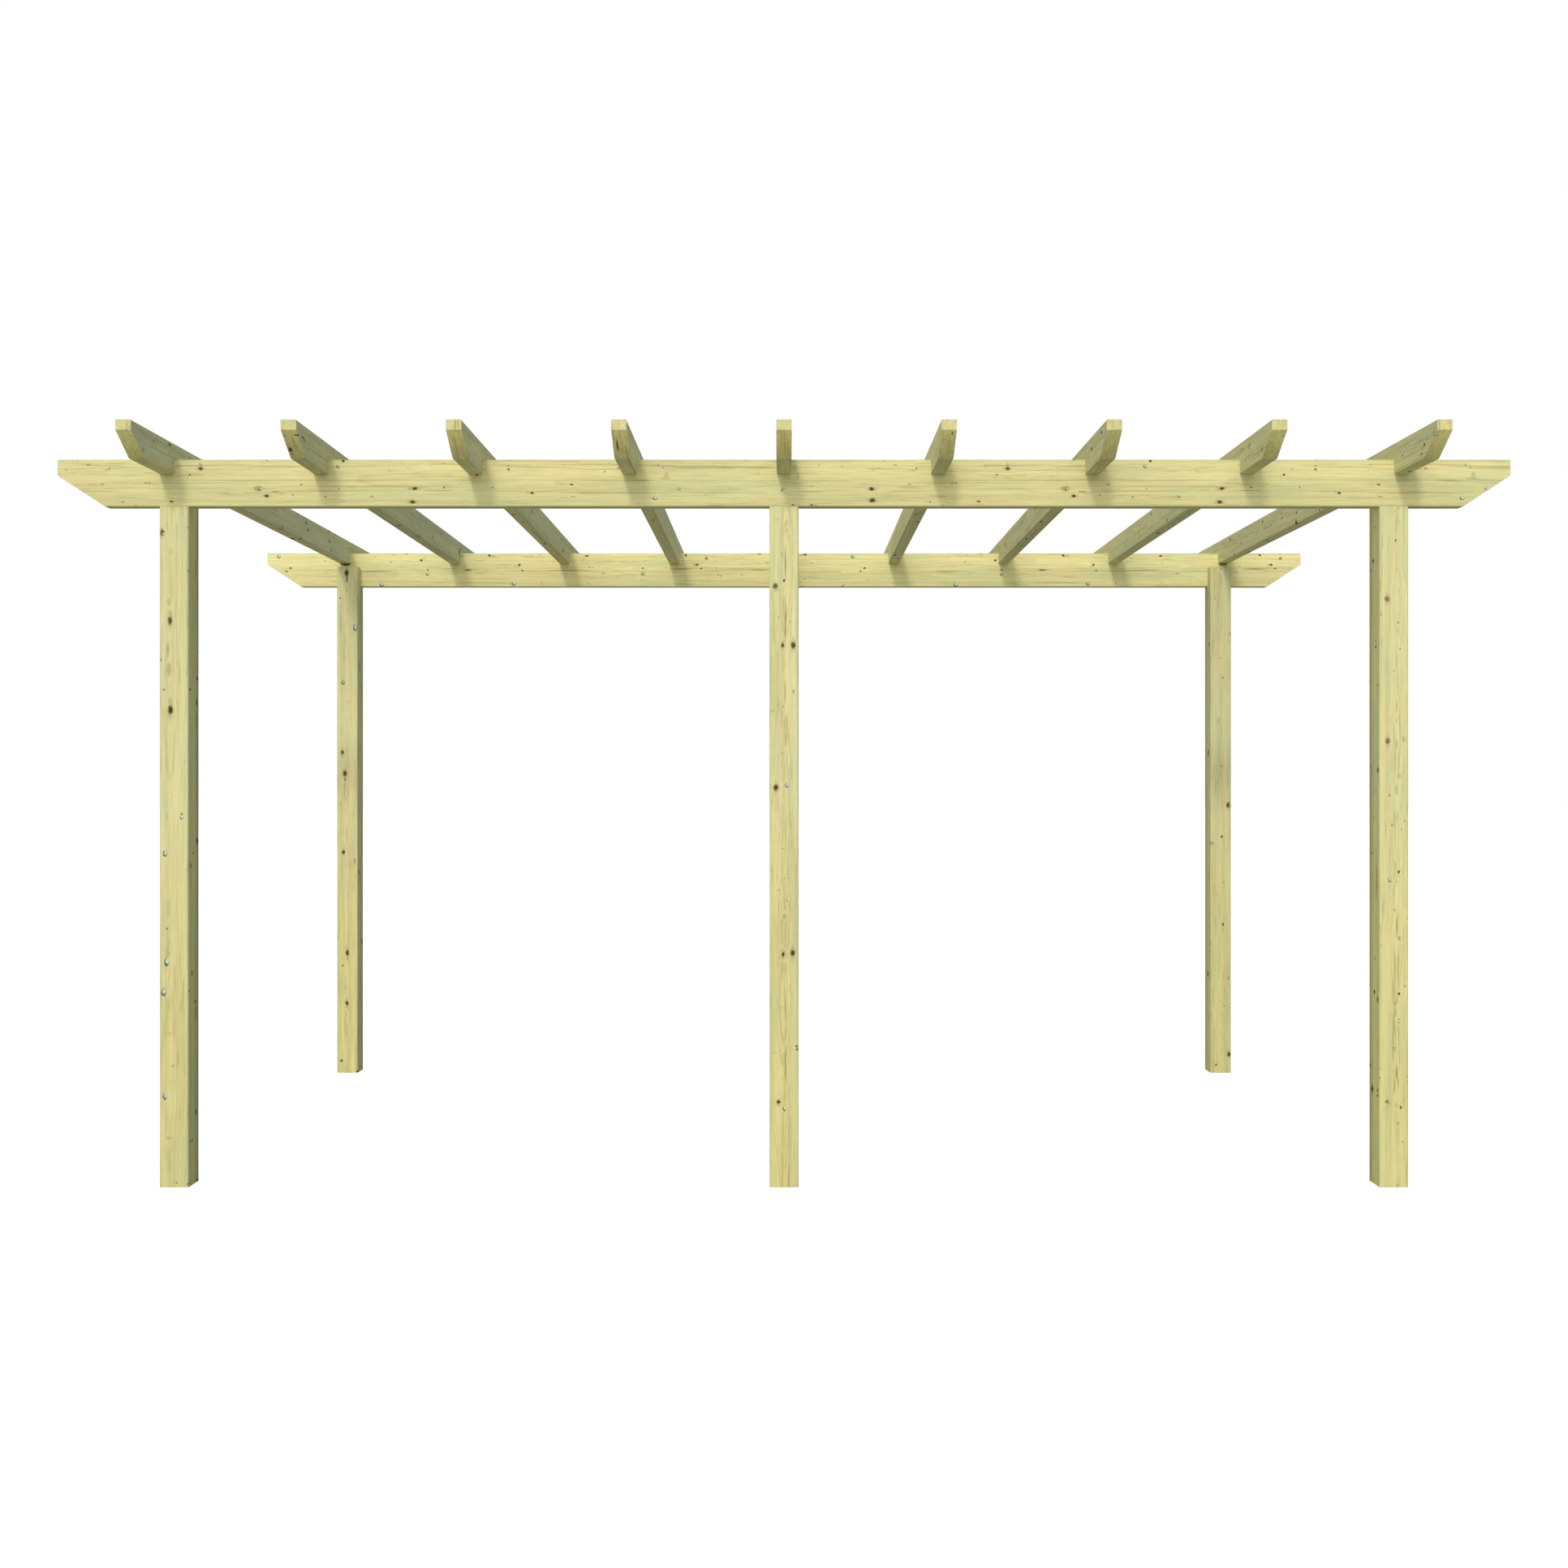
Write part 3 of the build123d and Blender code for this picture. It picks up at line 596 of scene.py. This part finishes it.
def make_growth_rings():
    """Rings round a heart line that wanders along the timber; latewood is each ring's dark edge."""
    takes = {"Vector": "Vector", **values("Heart Y", "Heart Z", "Ring Width", "Swell", "Seed")}
    graph, given, out = new_group("growth_rings", takes, values("Latewood", "Ring Tone"))
    seed = given["Seed"]
    along, off_across, off_up = off_heart(graph, given)
    walk = graph.noise(graph.join(along, seed, 0.0), scale=HEART_RATE)["Color"]
    walk = graph.parts(graph.stray(walk, HEART_REACH))
    off_across = graph.math("ADD", off_across, walk[1])
    off_up = graph.math("ADD", off_up, walk[2])
    radius = graph.vector_math("LENGTH", graph.join(0.0, off_across, off_up))

    ripple_at = graph.vector_math("MULTIPLY", given["Vector"], RIPPLE_RATE)
    ripple_at = graph.vector_math("ADD", ripple_at, graph.join(seed, 0.0, 0.0))
    ripple = graph.noise(ripple_at, **RIPPLE_GRAIN)["Fac"]
    ripple = graph.product(graph.math("SUBTRACT", ripple, 0.5), RIPPLE_REACH)
    radius = graph.math("ADD", graph.math("ADD", radius, ripple), given["Swell"])

    years = graph.math("DIVIDE", radius, given["Ring Width"])
    pace = graph.noise(graph.join(years, seed, YEAR_SLICE), scale=YEAR_RATE, detail=1.0)["Fac"]
    years = graph.math("ADD", years, graph.product(pace, YEAR_REACH))
    season = graph.math("FRACT", years)
    rising = graph.ramp(season, *LATEWOOD_RISE)
    falling = graph.ramp(season, *LATEWOOD_FALL)
    year = graph.join(graph.math("FLOOR", years), seed, 0.0)
    tone = graph.add("ShaderNodeTexWhiteNoise", {"Vector": year}, noise_dimensions="2D")
    graph.feed(out["Latewood"], graph.product(rising, falling))
    graph.feed(out["Ring Tone"], tone.outputs["Value"])
    return graph.tree


# Knots and other marks


def make_branch_knots():
    """Knots as branches that run straight out from the heart; 1 is the edge of a knot."""
    own = values("Spacing", "Branches Around", "Knot Radius", "Chance", "Seed")
    takes = {"Vector": "Vector", **values("Heart Y", "Heart Z"), **own}
    graph, given, out = new_group("branch_knots", takes, values("Distance"))
    along, off_across, off_up = off_heart(graph, given)
    radius = graph.vector_math("LENGTH", graph.join(0.0, off_across, off_up))
    turn = graph.math("DIVIDE", graph.math("ARCTAN2", off_up, off_across), math.tau)
    step_along = graph.math("ADD", graph.math("DIVIDE", along, given["Spacing"]), given["Seed"])
    step_around = graph.product(turn, given["Branches Around"])
    place = graph.join(step_along, step_around, 0.0)
    cells = graph.add("ShaderNodeTexVoronoi", {"Vector": place, "Scale": 1.0}, voronoi_dimensions="2D")
    offset = graph.parts(graph.vector_math("SUBTRACT", place, cells.outputs["Position"]))
    off_along = graph.product(offset[0], given["Spacing"])
    arc = graph.math("DIVIDE", graph.product(radius, math.tau), given["Branches Around"])
    off_around = graph.product(offset[1], arc)
    distance = graph.vector_math("LENGTH", graph.join(off_along, off_around, 0.0))
    chances = graph.parts(cells.outputs["Color"])
    knot_radius = graph.product(given["Knot Radius"], graph.ramp(chances[0], *KNOT_SIZES))
    absent = graph.math("GREATER_THAN", chances[1], given["Chance"])
    distance = graph.math("DIVIDE", distance, knot_radius)
    distance = graph.math("MAXIMUM", distance, graph.ramp(chances[2], *KNOT_PALENESS))
    graph.feed(out["Distance"], graph.math("ADD", distance, graph.product(absent, FAR_AWAY)))
    return graph.tree


def make_nearest_mark():
    """The lesser of a distance and the distance to one more mark, in units of its radii."""
    vectors = dict.fromkeys(("Vector", "Centre", "Per Radius"), "Vector")
    takes = {**vectors, **values("Least", "Distance")}
    graph, given, out = new_group("nearest_mark", takes, values("Distance"))
    offset = graph.vector_math("SUBTRACT", given["Vector"], given["Centre"])
    distance = graph.vector_math("LENGTH", graph.vector_math("MULTIPLY", offset, given["Per Radius"]))
    distance = graph.math("MAXIMUM", distance, given["Least"])
    graph.feed(out["Distance"], graph.math("MINIMUM", distance, given["Distance"]))
    return graph.tree


def make_uneven_place():
    """Moves a place a little, so that the outline of a mark is never a plain ellipse."""
    takes = {"Vector": "Vector", **values("Scale", "Shift")}
    graph, given, out = new_group("uneven_place", takes, {"Vector": "Vector"})
    shift = graph.noise(given["Vector"], scale=given["Scale"])["Color"]
    shift = graph.stray(shift, graph.join(given["Shift"], given["Shift"], given["Shift"]))
    graph.feed(out["Vector"], graph.vector_math("ADD", given["Vector"], shift))
    return graph.tree


# The whole finish


def distance_name(kind):
    """The socket that takes how far the nearest mark of a kind is."""
    return f"{kind.title()} Distance"


def make_treated_softwood(growth_rings, branch_knots):
    """Planed softwood with the pale green cast of pressure treatment, from timber coordinates."""
    takes = {
        "Vector": "Vector",
        "Tint": "Color",
        "Painted Side Light": "Color",
        **values("Heart Y", "Heart Z", "Ring Width", "Ring Contrast", "Warmth", "Greenness", "Seed"),
        **values(*(distance_name(kind) for kind in MARK_STYLE)),
        **values("Sawn Slant", "From Arris", "Side Face", "Wild Knots"),
    }
    gives = {"Color": "Color", **values("Roughness", "Height")}
    graph, given, out = new_group("treated_softwood", takes, gives)
    vector, seed, sawn = given["Vector"], given["Seed"], given["Sawn Slant"]

    def shown(kind):
        _, outer, inner, cover = MARK_STYLE[kind]
        return graph.ramp(given[distance_name(kind)], outer, inner, 0.0, cover)

    heart = {"Vector": vector, "Heart Y": given["Heart Y"], "Heart Z": given["Heart Z"]}
    wild = {**heart, "Chance": graph.product(given["Wild Knots"], KNOT_CHANCE)}
    pin_seed = graph.math("ADD", seed, PIN_SEED_STEP)
    large = graph.group(branch_knots, {**wild, **LARGE_KNOTS, "Seed": seed})["Distance"]
    pins = graph.group(branch_knots, {**wild, **PIN_KNOTS, "Seed": pin_seed})["Distance"]
    knot = graph.math("MINIMUM", large, given[distance_name("knot")])
    swell = graph.product(graph.ramp(knot, *SWELL_ROUND_KNOT), SWELL)
    knot = graph.math("MINIMUM", knot, pins)

    ring_width = given["Ring Width"]
    rings = graph.group(growth_rings, {**heart, "Ring Width": ring_width, "Swell": swell, "Seed": seed})
    ring_strength = graph.ramp(rings["Ring Tone"], *RING_STRENGTH)
    contrast = graph.math("ADD", given["Ring Contrast"], graph.product(sawn, SLANT_CONTRAST))
    latewood = graph.product(rings["Latewood"], ring_strength, contrast)

    place = graph.vector_math("ADD", vector, graph.join(seed, 0.0, 0.0))
    wave = graph.stray(graph.pattern(place, WAVE_RATE)["Color"], WAVE_REACH)
    place = graph.vector_math("ADD", place, wave)
    fibre = graph.pattern(place, FIBRE_RATE, **FIBRE_GRAIN)["Fac"]
    band = graph.pattern(place, BAND_RATE)["Fac"]
    patch = graph.parts(graph.pattern(place, PATCH_RATE)["Color"])
    line = graph.pattern(place, LINE_RATE)["Fac"]

    # Sound wood
    colour = graph.mix(latewood, EARLYWOOD, LATEWOOD)
    warm = graph.product(graph.ramp(patch[0], *WARM_PATCH), given["Warmth"])
    colour = graph.mix(warm, colour, WARM_WOOD)
    green = graph.product(graph.ramp(patch[1], *GREEN_PATCH), given["Greenness"])
    colour = graph.mix(green, colour, GREEN_WOOD)
    shade = graph.product(
        graph.ramp(fibre, *FIBRE_SHADE),
        graph.ramp(band, *BAND_SHADE),
        graph.ramp(patch[2], *PATCH_SHADE),
    )
    colour = graph.tinted(colour, graph.join(shade, shade, shade))
    colour = graph.tinted(colour, given["Tint"])

    # Dark grain and knots
    lines = graph.product(graph.ramp(line, *LINE_SHOWS), graph.ramp(band, *LINE_IN_BAND))
    colour = graph.mix(lines, colour, STREAK_BROWN)
    colour = graph.mix(shown("streak"), colour, STREAK_BROWN)
    smear = graph.product(shown("smear"), graph.ramp(fibre, *SMEAR_IN_FIBRE))
    colour = graph.mix(smear, colour, STREAK_BROWN)
    _, outer, inner, _ = MARK_STYLE["knot"]
    body = graph.ramp(knot, outer, inner)
    colour = graph.mix(body, colour, KNOT_BROWN)
    colour = graph.mix(graph.ramp(knot, *KNOT_CORE), colour, KNOT_HEART_AND_GAP_SHADE)

    # Plugs, and painted shade in the gaps
    colour = graph.mix(shown("rim"), colour, PLUG_RIM)
    fleck = graph.noise(vector, scale=FLECK_RATE, detail=1.0)["Fac"]
    resin = graph.mix(graph.ramp(fleck, *FLECK_IN_PLUG), PALE_HEART, PLUG_RIM)
    colour = graph.mix(shown("plug"), colour, resin)
    colour = graph.mix(shown("gap"), colour, KNOT_HEART_AND_GAP_SHADE)

    # Painted shade along the arrises, painted light and shade on the side faces, and sawn slants
    # Painted shade along the long arrises, broken up by a patch pattern
    arris = graph.ramp(given["From Arris"], ARRIS_WIDTH, 0.0)
    arris = graph.product(arris, graph.ramp(patch[2], *ARRIS_IN_PATCH))
    colour = graph.tinted(colour, ARRIS_PAINTED_SHADE, arris)
    colour = graph.tinted(colour, given["Painted Side Light"], given["Side Face"])
    colour = graph.tinted(colour, SAWN_TINT, graph.product(sawn, SAWN_STRENGTH))

    height = graph.math("ADD", graph.product(latewood, RING_RELIEF), graph.product(fibre, FIBRE_RELIEF))
    height = graph.math("SUBTRACT", height, graph.product(body, KNOT_RELIEF))
    graph.feed(out["Color"], colour)
    graph.feed(out["Roughness"], graph.ramp(fibre, *ROUGHNESS))
    graph.feed(out["Height"], height)
    return graph.tree


nearest_mark = make_nearest_mark()
uneven_place = make_uneven_place()
treated_softwood = make_treated_softwood(make_growth_rings(), make_branch_knots())


# Placing the marks


def face_of(name, side):
    """A point on one face of a timber and the direction that the face looks."""
    low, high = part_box(name)
    nose_foot = Vector((low.x, low.y, high.z - RAFTER_NOSE))
    return {
        "right": (high, Vector((1.0, 0.0, 0.0))),
        "left": (low, Vector((-1.0, 0.0, 0.0))),
        "front": (low, Vector((0.0, -1.0, 0.0))),
        "under": (low, Vector((0.0, 0.0, -1.0))),
        "slant": (nose_foot, Vector((0.0, low.z - nose_foot.z, -RAFTER_END_RUN)).normalized()),
    }[side]


def seen_at(across, down, face):
    """Where the sight line through a point of the photograph meets a face."""
    point, normal = face
    middle = PIXELS_ACROSS / 2
    reach = PIXELS_PER_METRE * EYE_TO_POSTS
    sight = Vector(((across - middle) / reach, 1.0, (middle - down) / reach))
    return EYE + sight * ((point - EYE).dot(normal) / sight.dot(normal))


def spread_of(side, level, upright):
    """The radii along X, Y and Z of a mark from its half width and half height on a face."""
    return {
        "front": (level, MARK_DEPTH, upright),
        "left": (MARK_DEPTH, level, upright),
        "right": (MARK_DEPTH, level, upright),
        "under": (level, upright, MARK_DEPTH),
        "slant": (level, upright, upright),
    }[side]


def is_big(knot):
    """Whether a knot is big and dark enough to disturb the grain round it."""
    _, _, half_width, half_height, strength = knot
    return half_width * half_height * (strength / 100) >= BIG_KNOT


def smear_of(knot, name, side):
    """The darker grain round a knot, drawn out along the timber."""
    across, down, half_width, half_height, strength = knot
    if name.startswith("post") or side in ("slant", "under"):
        return (across, down, half_width * SMEAR_ACROSS, half_height * SMEAR_ALONG, strength)
    return (across, down, half_width * SMEAR_ALONG, half_height * SMEAR_ACROSS, strength)


def rim_of(plug):
    """The dark rim of a pale plug, which shows mostly below it and to one side."""
    across, down, half_width, half_height, _ = plug
    shifted = (across + RIM_OFF_ACROSS * half_width, down + RIM_OFF_DOWN * half_height)
    return (*shifted, half_width, half_height, 100)


def marks_on(name, kind):
    """The marks of a kind on a timber, each with the side that it is on."""
    table = {"smear": KNOTS, "knot": KNOTS, "rim": PLUGS, "plug": PLUGS, "streak": STREAKS, "gap": PAINTED_GAP_SHADE}
    for (timber, side), marks in table[kind].items():
        if timber != name:
            continue
        if kind == "smear":
            marks = [smear_of(knot, name, side) for knot in marks if is_big(knot)]
        if kind == "rim":
            marks = [rim_of(plug) for plug in marks]
        for mark in marks:
            yield side, mark


def distance_to_marks(graph, name, kind, vector):
    """How far the nearest placed mark of a kind is; 1 is the edge of a mark."""
    distance = FAR_AWAY
    growth, outer, inner, _ = MARK_STYLE[kind]
    for side, mark in marks_on(name, kind):
        across, down, half_width, half_height, strength = mark
        grown = growth * (BIG_KNOT_GROWTH if kind == "knot" and is_big(mark) else 1.0)
        face = face_of(name, side)
        centre = seen_at(across, down, face)
        level = (seen_at(across + half_width, down, face) - centre).length
        upright = (seen_at(across, down + half_height, face) - centre).length
        radii = spread_of(side, level * grown, upright * grown)
        distance = graph.group(nearest_mark, {
            "Vector": vector,
            "Centre": tuple(centre),
            "Per Radius": tuple(1.0 / radius for radius in radii),
            "Least": outer - (outer - inner) * (strength / 100),
            "Distance": distance,
        })["Distance"]
    return distance


# Dressing the timbers


def repeated(graph, name, vector):
    """The beams show the same marks again after one length of their figure."""
    if not name.startswith("beam"):
        return vector
    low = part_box(name)[0]
    past = graph.math("GREATER_THAN", graph.parts(vector)[0], low.x + FIGURE_LENGTH)
    back = graph.join(graph.product(past, FIGURE_LENGTH), 0.0, 0.0)
    return graph.vector_math("SUBTRACT", vector, back)


def distance_from_arris(graph, place, half):
    """How far a point on a long face is from the nearest long arris."""
    across, up = graph.parts(place)[1:]
    inside_across = graph.math("SUBTRACT", abs(half.y), graph.math("ABSOLUTE", across))
    inside_up = graph.math("SUBTRACT", abs(half.z), graph.math("ABSOLUTE", up))
    return graph.math("MAXIMUM", inside_across, inside_up)


def painted_side_light(graph, row, place, normal):
    """Painted light and shade on a side face: lighter rafter and post sides, bluer on some, and a post's
    sides darkening towards the back arris.
    """
    if row == "beam":
        return WHITE
    facing_right = graph.math("GREATER_THAN", normal[0], 0.0)
    if row == "rafter":
        return graph.mix(facing_right, RAFTER_LEFT_PAINTED_LIGHT, RAFTER_RIGHT_PAINTED_LIGHT)
    near = graph.mix(facing_right, POST_LEFT_PAINTED_LIGHT, POST_RIGHT_PAINTED_LIGHT)
    far = graph.tinted(near, POST_BACK_PAINTED_SHADE)
    return graph.mix(graph.ramp(graph.parts(place)[1], *POST_PAINTED_SHADE_REACH), near, far)


def timber_tint(graph, row, standing, place, slant, tone):
    """How a timber's colour grows lighter up a post from its foot and up a beam from its lower edge, and
    painted shade that darkens a sawn slant towards its heel.
    """
    if row == "post":
        foot = tuple(tone * part for part in POST_FOOT_TINT)
        top = tuple(tone * part for part in POST_TOP_TINT)
        return graph.mix(graph.ramp(graph.parts(standing)[2], *POST_FADE), foot, top)
    up = graph.parts(place)[2]
    if row == "beam":
        change = graph.ramp(up, *BEAM_FADE)
    else:
        # painted shade: a slant darkens towards its heel
        more = graph.math("SUBTRACT", graph.ramp(up, *SLANT_PAINTED_SHADE), 1.0)
        change = graph.math("ADD", graph.product(slant, more), 1.0)
    level = graph.product(change, tone)
    return graph.join(level, level, level)


def cleared(owner):
    """The graph of a new material or world, with no nodes in it yet."""
    owner.use_nodes = True
    owner.node_tree.nodes.clear()
    return Graph(owner.node_tree)


def timber_material(name, cut, seed):
    """The finish of one timber, in coordinates centred on it with X along the grain."""
    row = name.split("_")[0]
    low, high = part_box(name)
    turn = TURN_OF_ROW[row]
    heart_y, heart_z, ring_width, contrast, warmth, tone = cut
    material = bpy.data.materials.new(f"{name}_wood")
    graph = cleared(material)
    source = graph.add("ShaderNodeTexCoord").outputs
    turned_centre = turn.to_matrix() @ ((low + high) / 2)
    half = turn.to_matrix() @ ((high - low) / 2)
    moved = {"Vector": source["Object"], "Location": tuple(-turned_centre), "Rotation": tuple(turn)}
    place = graph.add("ShaderNodeMapping", moved, vector_type="POINT").outputs[0]
    normal = graph.parts(source["Normal"])
    along = graph.math("ABSOLUTE", normal[GRAIN_AXIS[row]])
    slant = graph.product(graph.ramp(along, *SLANT_FROM), graph.ramp(along, *SLANT_TO))
    wild_knots = RAFTER_KNOTS if row == "rafter" else graph.ramp(normal[1], *NOT_IN_FRONT)

    figure = repeated(graph, name, source["Object"])
    fine = graph.group(uneven_place, {"Vector": figure, **FINE_EDGE})["Vector"]
    slow = graph.group(uneven_place, {"Vector": figure, **SLOW_EDGE})["Vector"]
    drawn_at = {kind: fine for kind in MARK_STYLE} | {"streak": slow, "gap": source["Object"]}
    distances = {}
    for kind, vector in drawn_at.items():
        distances[distance_name(kind)] = distance_to_marks(graph, name, kind, vector)
    wood = graph.group(treated_softwood, {
        "Vector": place,
        "Heart Y": heart_y,
        "Heart Z": heart_z,
        "Ring Width": ring_width,
        "Ring Contrast": contrast,
        "Warmth": warmth,
        "Greenness": GREENNESS,
        "Seed": seed,
        "Tint": timber_tint(graph, row, source["Object"], place, slant, tone),
        "Painted Side Light": painted_side_light(graph, row, place, normal),
        "Side Face": graph.math("ABSOLUTE", normal[0]),
        "From Arris": distance_from_arris(graph, place, half),
        "Sawn Slant": slant,
        "Wild Knots": wild_knots,
        **distances,
    })
    relief = {"Height": wood["Height"], "Strength": BUMP_STRENGTH, "Distance": BUMP_DISTANCE}
    surface = graph.add("ShaderNodeBsdfPrincipled", {
        "Base Color": wood["Color"],
        "Roughness": wood["Roughness"],
        "Normal": graph.add("ShaderNodeBump", relief).outputs[0],
        "Specular IOR Level": 0.0,
    })
    graph.add("ShaderNodeOutputMaterial", {"Surface": surface.outputs[0]})
    return material


def finish_timbers():
    """Gives every timber a finish of its own, in the order of their names."""
    draw = random.Random(DRAW_SEED)
    for name in sorted(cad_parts):
        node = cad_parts[name]
        if name.startswith("rafter"):
            place_in_row = int(name.split("_")[1]) - 1
            across, up, width, *looks = (*RAFTER_CUT, RAFTER_TONES[place_in_row])
        else:
            across, up, width, *looks = CUT_OF_TIMBER[name]
        cut = (
            across + draw.uniform(-HEART_STRAYS_ACROSS, HEART_STRAYS_ACROSS),
            up + draw.uniform(-HEART_STRAYS_UP, HEART_STRAYS_UP),
            width * draw.uniform(*RING_WIDTH_STRAYS),
            *looks,
        )
        node.data.materials.clear()
        node.data.materials.append(timber_material(name, cut, draw.uniform(*PATTERN_SEEDS)))


# Floor, light and camera


def add_object(name, data):
    """A new object in the scene."""
    made = bpy.data.objects.new(name, data)
    bpy.context.scene.collection.objects.link(made)
    return made


def seen_directly(graph):
    """1 for rays from the camera and for what gloss or glass shows."""
    path = graph.add("ShaderNodeLightPath").outputs
    seen = graph.math("MAXIMUM", path["Is Camera Ray"], path["Is Glossy Ray"])
    return graph.math("MAXIMUM", seen, path["Is Transmission Ray"])


def make_floor():
    """A plain pale floor, lifted to white where it is seen and nothing shades it."""
    mesh = bpy.data.meshes.new("floor")
    shape = bmesh.new()
    bmesh.ops.create_circle(shape, cap_ends=True, segments=FLOOR_SIDES, radius=FLOOR_RADIUS)
    shape.to_mesh(mesh)
    shape.free()
    material = bpy.data.materials.new("pale_floor")
    graph = cleared(material)
    matt = graph.add("ShaderNodeBsdfDiffuse", {"Color": FLOOR_COLOUR})
    lift = graph.product(seen_directly(graph), FLOOR_LIFT)
    glow = graph.add("ShaderNodeEmission", {"Color": WHITE, "Strength": lift})
    both = graph.add("ShaderNodeAddShader", {0: matt.outputs[0], 1: glow.outputs[0]})
    graph.add("ShaderNodeOutputMaterial", {"Surface": both.outputs[0]})
    mesh.materials.append(material)
    add_object("floor", mesh)


def make_world():
    """Even fill light all round, and plain white where the world itself is seen."""
    world = bpy.data.worlds.new("studio")
    graph = cleared(world)
    fill = graph.add("ShaderNodeBackground", {"Color": FILL_TINT, "Strength": FILL_LEVEL})
    white = graph.add("ShaderNodeBackground", {"Color": WHITE, "Strength": 1.0})
    choice = {0: seen_directly(graph), 1: fill.outputs[0], 2: white.outputs[0]}
    either = graph.add("ShaderNodeMixShader", choice)
    graph.add("ShaderNodeOutputWorld", {"Surface": either.outputs[0]})
    bpy.context.scene.world = world


def add_lamp(name, way, level, spread):
    """A far lamp that lights every piece alike and is never seen itself."""
    data = bpy.data.lights.new(name, "SUN")
    data.color = LAMP_TINT
    data.angle = math.radians(spread)
    data.energy = level * math.pi
    lamp = add_object(name, data)
    lamp.rotation_euler = Vector(way).to_track_quat("-Z", "Y").to_euler()
    lamp.visible_camera = False


def make_camera():
    """The photograph's camera, which looks level and straight at the front row."""
    data = bpy.data.cameras.new("camera")
    data.sensor_width = SENSOR_WIDTH
    data.lens = SENSOR_WIDTH * PIXELS_PER_METRE * EYE_TO_POSTS / PIXELS_ACROSS
    camera = add_object("camera", data)
    camera.location = EYE
    camera.rotation_euler = (math.pi / 2, 0.0, 0.0)
    bpy.context.scene.camera = camera


finish_timbers()
make_floor()
make_world()
for lamp_name, settings in LAMPS.items():
    add_lamp(lamp_name, *settings)
make_camera()
bpy.context.scene.view_settings.view_transform = "Standard"
